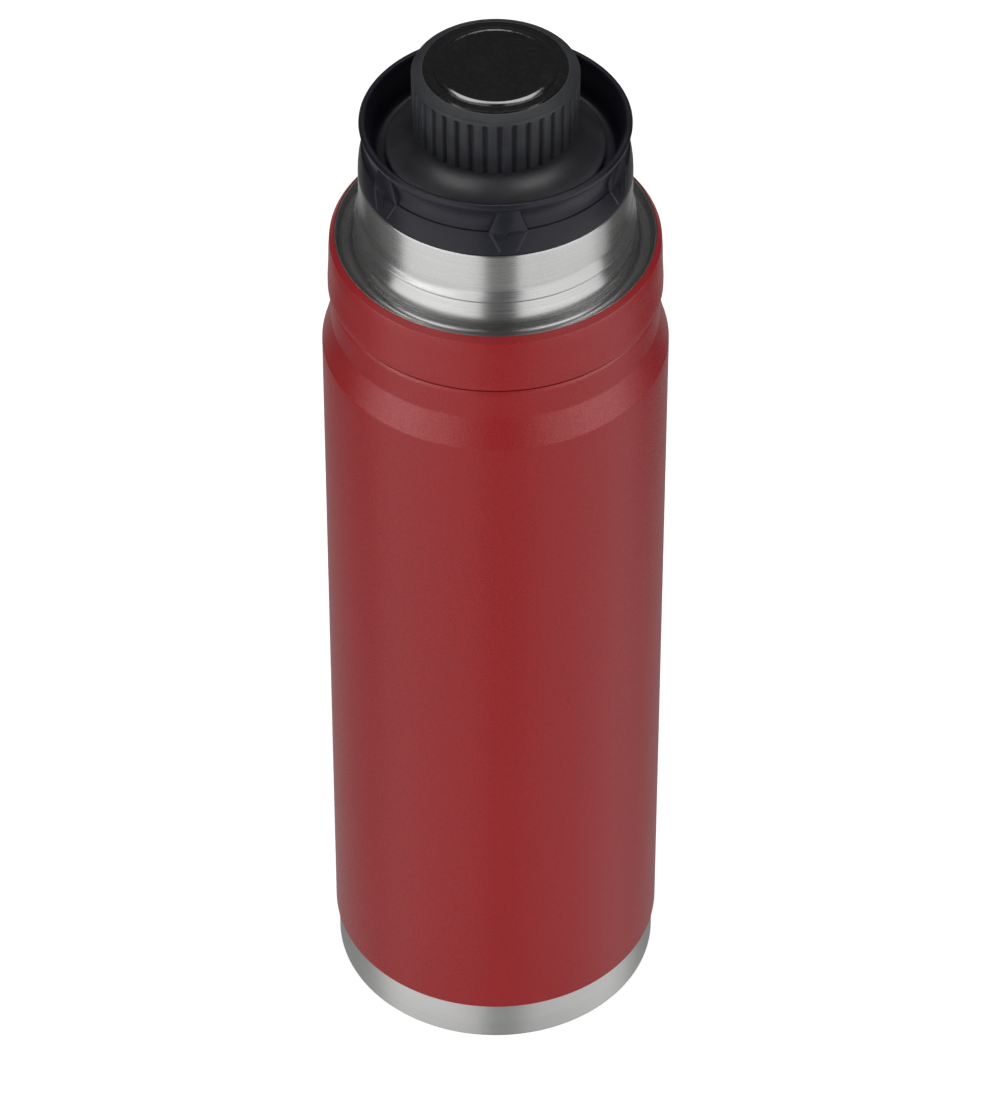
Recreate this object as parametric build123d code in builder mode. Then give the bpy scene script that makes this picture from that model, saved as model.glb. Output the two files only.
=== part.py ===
from build123d import *
import os
from math import cos, pi, radians, sin

# Insulated water bottle: a double-walled steel vacuum flask with a screw-in
# pour collar and a screw stopper that opens for pouring all round.
# Millimetres, +Z up, origin at the centre of the foot.  -Y is the front.
# Every thread is right-handed, so each screwed piece rises as it turns
# anticlockwise seen from above.

os.makedirs("parts", exist_ok=True)

# ---------------------------------------------------------------- dimensions
# flask, outside
BODY_R = 38.0            # coated body
BODY_WALL = 1.0          # steel with its coating
BASE_R = 37.3            # bare steel base band
BASE_BAND_H = 10.86      # height of the bare band
SHOULDER_Z = 186.0       # where the shoulder starts
STEP_Z = 203.3           # step line between waist and collar ring
WAIST_R = 35.9           # waist just under the step
COLLAR_R = 36.46         # collar ring at the step
COLLAR_TOP_Z = 217.45    # lip of the collar ring
GUTTER_R = 34.9          # outside of the steel gutter wall
GUTTER_WALL = 0.4
GUTTER_FLOOR_Z = 212.6
NECK_LOW_R = 30.0        # neck below the cup thread
NECK_R = 29.5            # plain neck above the cup thread
NECK_LEDGE_Z = 235.0     # ledge under the pour collar's skirt
LIP_OUT_R = 27.95        # lip inside the skirt
LIP_Z = 237.0            # top of the steel lip
CUP_PITCH = 8.2          # rolled thread for the cup
CUP_TURNS = 0.89
CUP_RIDGE_H = 1.05

# flask, inside
LINER_R = 34.6           # inside radius of the liner
LINER_WALL = 0.5
LINER_FLOOR_Z = 24.0
MOUTH_R = 26.1           # inside radius of the liner's neck
FLASK_PITCH = 6.0        # thread between liner and pour collar
FLASK_TURNS = 0.95

# pour collar
SKIRT_R = 29.48
SKIRT_BOTTOM_Z = 235.2
FLANGE_Z = 238.4         # underside that presses on the gasket
FLOOR_Z = 240.0          # floor of the bowl
WAIST_Z = 242.2
RIM_R = 29.13
RIM_Z = 248.3
TUBE_R = 24.5            # outside of the collar's screw-in tube
TUBE_BOTTOM_Z = 214.0
BORE_R = 22.2            # bore that takes the stopper
SEAT_TOP_Z = 218.0       # conical valve seat
SEAT_LOW_Z = 215.5
SEAT_R = 19.8
LUGS = 6
LUG_AZ = 5.4             # first lug, degrees from the front towards +X

# stopper
BARREL_R = 20.7
STOPPER_PITCH = 4.5
STOPPER_TURNS = 1.5
BELL_R = 23.6
BELL_Z = 241.0           # underside of the bell
KNOB_R = 17.9
KNOB_Z = 247.5           # bottom of the knob
KNOB_TOP_Z = 262.5
DISC_R = 14.8            # glossy insert
DISC_FACE_R = 12.5       # its raised face
DISC_TOP_Z = 263.0
FLUTES = 36
FLUTE_W = 1.05
FLUTE_DEPTH = 0.85
FLUTE_AZ = 2.9           # first groove, degrees from the front towards +X
CHANNELS = 4             # pour channels down the barrel


def ridge(pitch, turns, z0, start_deg, r_root, r_crest, w_root, w_crest):
    """A helical thread ridge, trapezoidal in section, rising anticlockwise
    from the azimuth start_deg at height z0."""
    a = radians(start_deg)
    base = Plane(origin=(0, 0, z0), x_dir=(cos(a), sin(a), 0), z_dir=(0, 0, 1))
    with BuildPart() as thread:
        with BuildLine(base) as path:
            Helix(pitch=pitch, height=pitch * turns, radius=r_root)
        start = path.line @ 0
        along = path.line % 0
        d = r_crest - r_root
        tooth = [(0, -w_root / 2), (d, -w_crest / 2), (d, w_crest / 2), (0, w_root / 2)]
        if d < 0:
            tooth.reverse()
        with BuildSketch(Plane(origin=start, x_dir=(cos(a), sin(a), 0), z_dir=along)):
            with BuildLine():
                Polyline(*tooth, close=True)
            make_face()
        sweep(path=path.line, is_frenet=True)
    return thread.part


def finish(piece, name):
    piece.part.label = name
    export_step(piece.part, "parts/" + name + ".step")
    print(name, "volume", round(piece.part.volume, 1), "solids", len(piece.part.solids()))


# ================================================================ flask
# ---- coated outer shell: straight tube, sloped shoulder, waist, spigot
# the shoulder falls quickly at first and then flattens into the waist
SHOULDER = [(BODY_R, SHOULDER_Z), (37.76, 188.1), (37.22, 190.0), (36.75, 192.0),
            (36.39, 194.0), (36.15, 196.0), (36.02, 198.5), (35.94, 201.0),
            (WAIST_R, STEP_Z)]
with BuildPart() as body_shell:
    with BuildSketch(Plane.XZ):
        with BuildLine():
            Line((BODY_R - 0.35, BASE_BAND_H), (BODY_R, BASE_BAND_H + 0.45))
            Line((BODY_R, BASE_BAND_H + 0.45), (BODY_R, SHOULDER_Z))
            Spline(*SHOULDER, tangents=((0, 1), (-0.02, 1)))
            Line((WAIST_R, STEP_Z), (35.4, STEP_Z))
            Line((35.4, STEP_Z), (35.4, 207.0))
            Line((35.4, 207.0), (GUTTER_R, 207.0))
            Line((GUTTER_R, 207.0), (GUTTER_R, STEP_Z))
            Spline(*[(r - BODY_WALL, z) for r, z in reversed(SHOULDER)],
                   tangents=((0.02, -1), (0, -1)))
            Line((BODY_R - BODY_WALL, SHOULDER_Z), (BODY_R - BODY_WALL, BASE_BAND_H))
            Line((BODY_R - BODY_WALL, BASE_BAND_H), (BODY_R - 0.35, BASE_BAND_H))
        make_face()
    revolve(axis=Axis.Z)
finish(body_shell, "body_shell")

# ---- coated collar ring: overhangs the waist by half a millimetre, with a
# slight taper and a chamfered lip that ends on the bare steel
with BuildPart() as collar_ring:
    with BuildSketch(Plane.XZ):
        with BuildLine():
            Line((35.4, STEP_Z), (COLLAR_R - 0.15, STEP_Z))
            Line((COLLAR_R - 0.15, STEP_Z), (COLLAR_R, STEP_Z + 0.2))
            Line((COLLAR_R, STEP_Z + 0.2), (COLLAR_R, 205.2))
            Spline((COLLAR_R, 205.2), (36.28, 209.2), (36.16, 213.4), (35.93, 215.3),
                   tangents=((-0.03, 1), (-0.35, 1)))
            Spline((35.93, 215.3), (35.45, 216.55), (GUTTER_R, 217.45),
                   tangents=((-0.35, 1), (-0.6, 0.7)))
            Line((GUTTER_R, 217.45), (GUTTER_R, 207.0))
            Line((GUTTER_R, 207.0), (35.4, 207.0))
            Line((35.4, 207.0), (35.4, STEP_Z))
        make_face()
    revolve(axis=Axis.Z)
finish(collar_ring, "collar_ring")

# ---- bare steel neck: one pressed sheet that runs from the skirt welded into
# the shell, up to the gutter lip, down the gutter, and up the neck to the
# ledge and the lip inside the pour collar
cup_thread = ridge(CUP_PITCH, CUP_TURNS, 217.1, 0.0, NECK_R - 0.35, NECK_R + CUP_RIDGE_H,
                   3.0, 1.3)
with BuildPart() as neck_shell:
    with BuildSketch(Plane.XZ):
        with BuildLine():
            Polyline((GUTTER_R - GUTTER_WALL, 214.8), (GUTTER_R - GUTTER_WALL, 217.15),
                     (GUTTER_R - 0.15, 217.3), (GUTTER_R, 217.15), (GUTTER_R, 202.5),
                     (GUTTER_R - 0.5, 202.5), (GUTTER_R - 0.5, 211.2), (33.7, 212.0),
                     (31.5, 212.0))
            # underside of the gutter, up the inside of the neck
            RadiusArc((31.5, 212.0), (NECK_LOW_R - 0.6, 215.6), 3.6)
            Polyline((NECK_LOW_R - 0.6, 215.6), (NECK_LOW_R - 0.6, 222.0), (NECK_R - 0.6, 226.0),
                     (NECK_R - 0.6, 234.0), (LIP_OUT_R - 0.6, 234.7), (LIP_OUT_R - 0.6, 236.4),
                     (LIP_OUT_R, 236.4), (LIP_OUT_R, NECK_LEDGE_Z), (NECK_R - 0.3, NECK_LEDGE_Z),
                     (NECK_R, NECK_LEDGE_Z - 0.3), (NECK_R, 226.2), (NECK_LOW_R, 222.0),
                     (NECK_LOW_R, 216.4))
            RadiusArc((NECK_LOW_R, 216.4), (33.0, GUTTER_FLOOR_Z), -3.8)
            RadiusArc((33.0, GUTTER_FLOOR_Z), (GUTTER_R - GUTTER_WALL, 214.8), -2.0)
        make_face()
    revolve(axis=Axis.Z)
    add(cup_thread)
finish(neck_shell, "neck_shell")

# ---- bare steel base cup: crisp foot ring, raised underside, joggled spigot
# that the coated shell slides over
with BuildPart() as base_cup:
    with BuildSketch(Plane.XZ):
        with BuildLine():
            Polyline((0, 2.2), (31.8, 2.2), (33.0, 0.35), (33.6, 0), (BASE_R - 0.8, 0),
                     (BASE_R - 0.2, 0.25), (BASE_R, 0.8), (BASE_R, BASE_BAND_H - 0.25),
                     (BODY_R - BODY_WALL, BASE_BAND_H), (BODY_R - BODY_WALL, 16.5),
                     (36.4, 16.5), (36.4, 1.6), (33.9, 1.0), (32.4, 3.0), (0, 3.0), close=True)
        make_face()
    revolve(axis=Axis.Z)
finish(base_cup, "base_cup")

# ---- plate that closes the vacuum space, with a rim welded to the shell, a
# dimple and the evacuation hole
with BuildPart() as vacuum_end_plate:
    with BuildSketch(Plane.XZ):
        with BuildLine():
            Polyline((1.0, 16.4), (4.0, 16.4), (5.2, 17.6), (34.6, 17.6), (36.4, 19.0),
                     (36.4, 23.0), (BODY_R - BODY_WALL, 23.0), (BODY_R - BODY_WALL, 18.2),
                     (35.2, 16.9), (5.6, 16.9), (4.4, 15.7), (1.0, 15.7), close=True)
        make_face()
    revolve(axis=Axis.Z)
finish(vacuum_end_plate, "vacuum_end_plate")

# ---- bead that plugs the evacuation hole
with BuildPart() as vacuum_seal_bead:
    with BuildSketch(Plane.XZ):
        with BuildLine():
            Polyline((0, 16.4), (1.0, 16.4), (1.0, 15.7), (2.6, 15.7), (2.35, 15.2),
                     (1.7, 14.75), (0.9, 14.55), (0, 14.5), close=True)
        make_face()
    revolve(axis=Axis.Z)
finish(vacuum_seal_bead, "vacuum_seal_bead")

# ---- liner: tube, shoulder and neck in one, lip flanged over the neck shell,
# with a rolled inner thread for the pour collar
flask_thread = ridge(FLASK_PITCH, FLASK_TURNS, 224.0, -90.0, MOUTH_R + 0.3, MOUTH_R - 1.2,
                     2.4, 1.0)
with BuildPart() as inner_flask_tube:
    with BuildSketch(Plane.XZ):
        with BuildLine():
            t = LINER_WALL
            Line((LINER_R, 30.0), (LINER_R + t, 30.0))
            Line((LINER_R + t, 30.0), (LINER_R + t, 182.0))
            Spline((LINER_R + t, 182.0), (33.9, 190.6), (30.4, 196.6), (27.7, 201.4),
                   (MOUTH_R + t, 208.0), tangents=((0, 1), (0, 1)))
            Polyline((MOUTH_R + t, 208.0), (MOUTH_R + t, 235.6), (LIP_OUT_R - 0.6, 236.4),
                     (LIP_OUT_R, 236.4), (LIP_OUT_R, LIP_Z - 0.25), (LIP_OUT_R - 0.25, LIP_Z),
                     (MOUTH_R + 0.5, LIP_Z), (MOUTH_R, LIP_Z - 0.5), (MOUTH_R, 208.0))
            Spline((MOUTH_R, 208.0), (27.2, 201.2), (29.95, 196.35), (33.42, 190.45),
                   (LINER_R, 182.0), tangents=((0, -1), (0, -1)))
            Line((LINER_R, 182.0), (LINER_R, 30.0))
        make_face()
    revolve(axis=Axis.Z)
    add(flask_thread)
finish(inner_flask_tube, "inner_flask_tube")

# ---- dished bottom of the liner, welded edge to edge with the tube
with BuildPart() as inner_flask_bottom:
    with BuildSketch(Plane.XZ):
        with BuildLine():
            Line((0, LINER_FLOOR_Z - 0.5), (0, LINER_FLOOR_Z))
            Line((0, LINER_FLOOR_Z), (24.0, LINER_FLOOR_Z - 0.0))
            Spline((24.0, LINER_FLOOR_Z), (31.5, 25.4), (LINER_R, 30.0),
                   tangents=((1, 0), (0, 1)))
            Line((LINER_R, 30.0), (LINER_R + 0.5, 30.0))
            Spline((LINER_R + 0.5, 30.0), (31.85, 25.0), (24.0, LINER_FLOOR_Z - 0.5),
                   tangents=((0, -1), (-1, 0)))
            Line((24.0, LINER_FLOOR_Z - 0.5), (0, LINER_FLOOR_Z - 0.5))
        make_face()
    revolve(axis=Axis.Z)
finish(inner_flask_bottom, "inner_flask_bottom")

# ---- foil wrap round the liner, open by a few millimetres at its seam
with BuildPart() as radiation_shield:
    with BuildSketch(Plane.XY.offset(33.0)):
        Circle(LINER_R + LINER_WALL + 0.3)
        Circle(LINER_R + LINER_WALL, mode=Mode.SUBTRACT)
        with Locations((0, LINER_R)):
            Rectangle(3.0, 8.0, mode=Mode.SUBTRACT)
    extrude(amount=145.0)
finish(radiation_shield, "radiation_shield")

# ---- getter pellet in its spring clip, on the vacuum side of the end plate
GETTER_X = 20.0
with BuildPart() as getter_clip:
    with BuildSketch(Plane.XY.offset(17.6)):
        with Locations((GETTER_X, 0)):
            Circle(4.0)
    extrude(amount=1.9)
    with BuildSketch(Plane.XY.offset(17.9)):
        with Locations((GETTER_X, 0)):
            Circle(3.5)
    extrude(amount=1.6, mode=Mode.SUBTRACT)
    with BuildSketch(Plane.XY.offset(17.6)):
        with Locations((GETTER_X - 6.0, 0)):
            SlotCenterToCenter(5.0, 3.0)
    extrude(amount=0.3)
finish(getter_clip, "getter_clip")

with BuildPart() as getter_pellet:
    with BuildSketch(Plane.XY.offset(17.9)):
        with Locations((GETTER_X, 0)):
            Circle(3.5)
    extrude(amount=1.4)
    chamfer(getter_pellet.faces().sort_by(Axis.Z)[-1].edges(), 0.2)
finish(getter_pellet, "getter_pellet")

# ================================================================ neck gasket
# silicone ring between the steel lip and the pour collar's flange
with BuildPart() as neck_gasket:
    with BuildSketch(Plane.XZ):
        with BuildLine():
            Polyline((TUBE_R + 0.08, LIP_Z + 0.35), (TUBE_R + 0.08, FLANGE_Z - 0.06),
                     (28.2, FLANGE_Z - 0.06), (28.2, LIP_Z + 0.06), (26.5, LIP_Z + 0.06),
                     (25.9, LIP_Z + 0.35), close=True)
        make_face()
    revolve(axis=Axis.Z)
finish(neck_gasket, "neck_gasket")

# ================================================================ pour collar
# bowl, rim, waist, skirt and threaded tube in one moulding.  The six lugs are
# hexagons: the upper half is a buttress that fills the waist under the rim,
# the lower half is two slanted ribs and a centre rib on the skirt.
collar_thread = ridge(FLASK_PITCH, FLASK_TURNS, 222.4, -90.0, TUBE_R - 0.3, TUBE_R + 1.25,
                      2.4, 1.0)
# the bore's thread is interrupted, which leaves the liquid a way past it
BORE_RUN = 0.7
bore_threads = [ridge(STOPPER_PITCH, BORE_RUN, 228.2 + STOPPER_PITCH * turn,
                      -90.0 + 360.0 * turn, BORE_R + 0.3, BORE_R - 1.1, 1.7, 0.8)
                for turn in (0.0, 0.8)]
LUG_TOP_W, LUG_MID_W, LUG_LOW_W = 4.4, 8.7, 4.5
LUG_TOP_Z, LUG_MID_Z, LUG_LOW_Z = 246.4, 240.9, 236.6
lug_planes = []
for k in range(LUGS):
    a = radians(-90 + LUG_AZ + k * 360 / LUGS)
    lug_planes.append(Plane(origin=(0, 0, 0), x_dir=(-sin(a), cos(a), 0),
                            z_dir=(cos(a), sin(a), 0)))
with BuildPart() as buttresses:
    for plane in lug_planes:
        with BuildSketch(plane.offset(25.9)):
            with BuildLine():
                Polyline((-LUG_MID_W / 2, LUG_MID_Z), (-LUG_TOP_W / 2, LUG_TOP_Z),
                         (LUG_TOP_W / 2, LUG_TOP_Z), (LUG_MID_W / 2, LUG_MID_Z),
                         (LUG_MID_W / 2, LUG_MID_Z - 1.6), (-LUG_MID_W / 2, LUG_MID_Z - 1.6),
                         close=True)
            make_face()
        extrude(amount=4.0)
    # the lugs' outer face runs straight from the skirt's edge to the rim
    with BuildSketch(Plane.XZ):
        with BuildLine():
            Polyline((27.4, 238.9), (28.9, 238.9), (28.85, 240.9), (28.85, 246.9),
                     (27.4, 246.9), close=True)
        make_face()
    revolve(axis=Axis.Z, mode=Mode.INTERSECT)
with BuildPart() as lug_ribs:
    for plane in lug_planes:
        with BuildSketch(plane.offset(27.6)):
            for side in (-1, 1):
                with BuildLine():
                    Polyline((side * (LUG_MID_W / 2), LUG_MID_Z - 0.1),
                             (side * (LUG_LOW_W / 2), LUG_LOW_Z),
                             (side * (LUG_LOW_W / 2 - 0.55), LUG_LOW_Z),
                             (side * (LUG_MID_W / 2 - 0.55), LUG_MID_Z - 0.1), close=True)
                make_face()
            with Locations((0, 239.2)):
                Rectangle(0.3, 2.6)
        extrude(amount=3.0)
    with BuildSketch(Plane.XZ):
        with BuildLine():
            Polyline((28.5, 235.6), (29.49, 235.6), (29.49, 239.0), (29.2, 240.9),
                     (28.5, 241.0), close=True)
        make_face()
    revolve(axis=Axis.Z, mode=Mode.INTERSECT)
with BuildPart() as pour_collar:
    with BuildSketch(Plane.XZ):
        with BuildLine():
            Polyline((28.3, FLANGE_Z), (28.3, SKIRT_BOTTOM_Z), (SKIRT_R - 0.15, SKIRT_BOTTOM_Z),
                     (SKIRT_R, SKIRT_BOTTOM_Z + 0.2))
            Spline((SKIRT_R, SKIRT_BOTTOM_Z + 0.2), (29.36, 237.3), (29.14, 239.1),
                   (28.85, 240.6), tangents=((0, 1), (-0.35, 1)))
            Line((28.85, 240.6), (28.3, 241.2))
            Spline((28.3, 241.2), (27.95, WAIST_Z), (28.35, 245.0), (RIM_R, 247.2),
                   tangents=((-0.7, 0.7), (0.25, 1)))
            Spline((RIM_R, 247.2), (28.85, 248.05), (28.35, RIM_Z),
                   tangents=((0.1, 1), (-1, 0)))
            Line((28.35, RIM_Z), (28.05, RIM_Z))
            Spline((28.05, RIM_Z), (27.55, 247.85), (27.1, 245.4), (26.4, 242.0),
                   (25.0, FLOOR_Z), tangents=((-1, 0), (-1, 0)))
            Polyline((25.0, FLOOR_Z), (22.8, FLOOR_Z), (BORE_R, FLOOR_Z - 0.6),
                     (BORE_R, SEAT_TOP_Z), (SEAT_R, SEAT_LOW_Z), (SEAT_R, TUBE_BOTTOM_Z),
                     (TUBE_R - 0.8, TUBE_BOTTOM_Z), (TUBE_R, TUBE_BOTTOM_Z + 0.8),
                     (TUBE_R, FLANGE_Z), (28.3, FLANGE_Z))
        make_face()
    revolve(axis=Axis.Z)
    add(collar_thread)
    for run in bore_threads:
        add(run)
    add(buttresses.part)
    add(lug_ribs.part)
finish(pour_collar, "pour_collar")

# ================================================================ valve seal
# silicone ring round the stopper's foot: its cone closes the collar's seat
with BuildPart() as valve_seal:
    with BuildSketch(Plane.XZ):
        with BuildLine():
            Polyline((17.86, 216.08), (20.15, 216.08), (21.78, 217.78), (21.3, 219.1),
                     (17.86, 219.1), close=True)
        make_face()
    revolve(axis=Axis.Z)
finish(valve_seal, "valve_seal")

# ================================================================ stopper
# ---- body: bell, spigot for the knob and hollow threaded barrel, with pour
# channels that cut through the thread up to the bell
stopper_thread = ridge(STOPPER_PITCH, STOPPER_TURNS, 226.75, -90.0, BARREL_R - 0.3,
                       BARREL_R + 1.12, 1.7, 0.8)
with BuildPart() as stopper_body:
    with BuildSketch(Plane.XZ):
        with BuildLine():
            Polyline((0, 259.3), (14.2, 259.3), (15.9, 257.6), (15.9, KNOB_Z), (17.45, KNOB_Z))
            Spline((17.45, KNOB_Z), (17.75, 246.6), (18.6, 245.2), (20.2, 243.6),
                   (22.2, 242.3), (BELL_R, 241.7), tangents=((0, -1), (1, -0.35)))
            Polyline((BELL_R, 241.7), (BELL_R, BELL_Z + 0.25), (BELL_R - 0.25, BELL_Z),
                     (BARREL_R, BELL_Z), (BARREL_R, 219.2), (17.8, 219.2), (17.8, 216.0),
                     (16.6, 216.0), (16.6, 243.5), (13.8, 246.0), (13.8, 257.3), (0, 257.3),
                     (0, 259.3))
        make_face()
    revolve(axis=Axis.Z)
    add(stopper_thread)
    with BuildSketch(Plane.XY.offset(219.2)):
        with PolarLocations(BARREL_R + 1.6, CHANNELS, start_angle=45):
            RectangleRounded(5.8, 6.4, 0.8)
    extrude(amount=BELL_Z - 219.2, mode=Mode.SUBTRACT)
finish(stopper_body, "stopper_body")

# ---- washer under the bell that stops drips into the bowl
with BuildPart() as drip_seal:
    with BuildSketch(Plane.XZ):
        with BuildLine():
            Polyline((BARREL_R + 0.1, BELL_Z), (BELL_R - 0.3, BELL_Z), (BELL_R - 0.3, 240.4),
                     (23.05, 240.06), (22.5, 240.06), (22.0, 240.35), (BARREL_R + 0.1, 240.35),
                     close=True)
        make_face()
    revolve(axis=Axis.Z)
finish(drip_seal, "drip_seal")

# ---- foam core, entered from below
with BuildPart() as stopper_foam:
    with BuildSketch(Plane.XZ):
        with BuildLine():
            Polyline((0, 218.6), (16.5, 218.6), (16.5, 243.4), (13.7, 245.9), (13.7, 257.0),
                     (0, 257.0), close=True)
        make_face()
    revolve(axis=Axis.Z)
finish(stopper_foam, "stopper_foam")

# ---- cap that closes the barrel and keeps the valve seal on
with BuildPart() as stopper_bottom_cap:
    with BuildSketch(Plane.XZ):
        with BuildLine():
            Polyline((0, 213.2), (17.6, 213.2), (19.2, 214.6), (19.2, 216.0), (16.6, 216.0),
                     (16.6, 218.6), (0, 218.6), close=True)
        make_face()
    revolve(axis=Axis.Z)
finish(stopper_bottom_cap, "stopper_bottom_cap")

# ---- knob: hollow cap with a sloped textured shoulder, a recess for the
# insert and narrow grooves with rounded tops, open at the bottom
with BuildPart() as stopper_knob:
    with BuildSketch(Plane.XZ):
        with BuildLine():
            Polyline((15.9, KNOB_Z), (KNOB_R - 0.35, KNOB_Z), (KNOB_R - 0.15, KNOB_Z + 0.25),
                     (KNOB_R, 250.0), (KNOB_R, 260.5))
            ThreePointArc((KNOB_R, 260.5), (17.75, 260.95), (17.35, 261.3))
            Polyline((17.35, 261.3), (15.0, 262.42), (DISC_R, KNOB_TOP_Z), (DISC_R, 261.4),
                     (0, 261.4), (0, 259.3), (14.2, 259.3), (15.9, 257.6), (15.9, KNOB_Z))
        make_face()
    revolve(axis=Axis.Z)
    with BuildSketch(Plane.XY.offset(KNOB_Z)):
        with PolarLocations(KNOB_R + 0.15, FLUTES, start_angle=-90 + FLUTE_AZ):
            SlotCenterToCenter(2 * (FLUTE_DEPTH + 0.15) - FLUTE_W, FLUTE_W)
    extrude(amount=260.9 - KNOB_Z, mode=Mode.SUBTRACT)
finish(stopper_knob, "stopper_knob")

# ---- glossy insert: flat rim, raised face with a rounded edge
with BuildPart() as knob_top_disc:
    with BuildSketch(Plane.XY.offset(261.4)):
        Circle(DISC_R)
    extrude(amount=KNOB_TOP_Z - 0.05 - 261.4)
    with BuildSketch(Plane.XY.offset(KNOB_TOP_Z - 0.05)):
        Circle(DISC_FACE_R)
    extrude(amount=DISC_TOP_Z - KNOB_TOP_Z + 0.05)
    fillet(knob_top_disc.faces().sort_by(Axis.Z)[-1].edges(), 0.4)
finish(knob_top_disc, "knob_top_disc")
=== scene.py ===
import bpy, bmesh, math
import numpy as np
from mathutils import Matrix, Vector


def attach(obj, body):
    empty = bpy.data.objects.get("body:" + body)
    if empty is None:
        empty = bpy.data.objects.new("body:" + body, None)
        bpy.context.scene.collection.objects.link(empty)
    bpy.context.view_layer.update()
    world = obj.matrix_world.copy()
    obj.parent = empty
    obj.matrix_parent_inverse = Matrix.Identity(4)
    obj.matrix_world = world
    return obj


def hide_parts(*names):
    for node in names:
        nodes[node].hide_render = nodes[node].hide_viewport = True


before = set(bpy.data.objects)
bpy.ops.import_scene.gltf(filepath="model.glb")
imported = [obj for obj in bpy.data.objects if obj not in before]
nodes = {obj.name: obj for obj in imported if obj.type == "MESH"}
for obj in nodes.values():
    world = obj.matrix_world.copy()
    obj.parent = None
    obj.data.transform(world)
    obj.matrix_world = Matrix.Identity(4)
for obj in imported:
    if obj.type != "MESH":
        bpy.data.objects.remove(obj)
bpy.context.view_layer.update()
MM = 0.001
scene = bpy.context.scene


# ------------------------------------------------------------------ profiles
def rounded(corners, closed=True, step=0.09):
    """Corner points (r, z[, fillet radius]) in mm, as a polyline with true arcs."""
    n = len(corners)
    pts = []
    for i, c in enumerate(corners):
        f = c[2] if len(c) > 2 else 0.0
        p = np.array(c[:2], float)
        if f <= 0 or (not closed and i in (0, n - 1)):
            pts.append(p)
            continue
        a = np.array(corners[i - 1][:2], float) - p
        b = np.array(corners[(i + 1) % n][:2], float) - p
        la, lb = np.linalg.norm(a), np.linalg.norm(b)
        a, b = a / la, b / lb
        ang = math.acos(max(-1, min(1, float(a @ b))))
        if abs(math.pi - ang) < 1e-3:
            pts.append(p)
            continue
        t = min(f / math.tan(ang / 2), 0.49 * la, 0.49 * lb)
        f = t * math.tan(ang / 2)
        bis = (a + b) / np.linalg.norm(a + b)
        c0 = p + bis * (f / math.sin(ang / 2))
        s, e = p + a * t, p + b * t
        a0 = math.atan2(*(s - c0)[::-1])
        a1 = math.atan2(*(e - c0)[::-1])
        d = (a1 - a0 + math.pi) % (2 * math.pi) - math.pi
        k = max(3, int(abs(d) * f / step) + 1, int(abs(d) / 0.26) + 1)
        for q in range(k + 1):
            w = a0 + d * q / k
            pts.append(c0 + f * np.array([math.cos(w), math.sin(w)]))
    out = [pts[0]]
    for p in pts[1:]:
        if np.linalg.norm(p - out[-1]) > 1e-4:
            out.append(p)
    if closed and np.linalg.norm(out[0] - out[-1]) < 1e-4:
        out.pop()
    return np.array(out)


def curve(points, k=8):
    """A smooth line through (r, z) points: centripetal Catmull-Rom."""
    p = [np.array(q, float) for q in points]
    p = [2 * p[0] - p[1]] + p + [2 * p[-1] - p[-2]]
    out = []
    for i in range(1, len(p) - 2):
        t = [0.0]
        for j in range(3):
            t.append(t[-1] + max(1e-6, np.linalg.norm(p[i + j] - p[i + j - 1])) ** 0.5)
        for q in range(k):
            x = t[1] + (t[2] - t[1]) * q / k
            a1 = (t[1] - x) / (t[1] - t[0]) * p[i - 1] + (x - t[0]) / (t[1] - t[0]) * p[i]
            a2 = (t[2] - x) / (t[2] - t[1]) * p[i] + (x - t[1]) / (t[2] - t[1]) * p[i + 1]
            a3 = (t[3] - x) / (t[3] - t[2]) * p[i + 1] + (x - t[2]) / (t[3] - t[2]) * p[i + 2]
            b1 = (t[2] - x) / (t[2] - t[0]) * a1 + (x - t[0]) / (t[2] - t[0]) * a2
            b2 = (t[3] - x) / (t[3] - t[1]) * a2 + (x - t[1]) / (t[3] - t[1]) * a3
            out.append((t[2] - x) / (t[2] - t[1]) * b1 + (x - t[1]) / (t[2] - t[1]) * b2)
    out.append(p[-2])
    return np.array(out)


def subdivide(pts, longest=6.0, closed=True):
    """Adds points on long straight stretches so the quads stay fair."""
    out = []
    n = len(pts)
    for i in range(n if closed else n - 1):
        a, b = pts[i], pts[(i + 1) % n]
        out.append(a)
        k = int(np.linalg.norm(b - a) / longest)
        for q in range(1, k + 1):
            out.append(a + (b - a) * q / (k + 1))
    if not closed:
        out.append(pts[-1])
    return np.array(out)


# ------------------------------------------------------------------ meshes
def new_object(name, verts, faces, sharp=32.0):
    me = bpy.data.meshes.new(name)
    me.from_pydata([tuple(v) for v in verts], [], faces)
    bm = bmesh.new()
    bm.from_mesh(me)
    bmesh.ops.recalc_face_normals(bm, faces=bm.faces)
    bm.to_mesh(me)
    bm.free()
    me.polygons.foreach_set("use_smooth", [True] * len(me.polygons))
    me.set_sharp_from_angle(angle=math.radians(sharp))
    me.update()
    ob = bpy.data.objects.new(name, me)
    scene.collection.objects.link(ob)
    return ob


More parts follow.
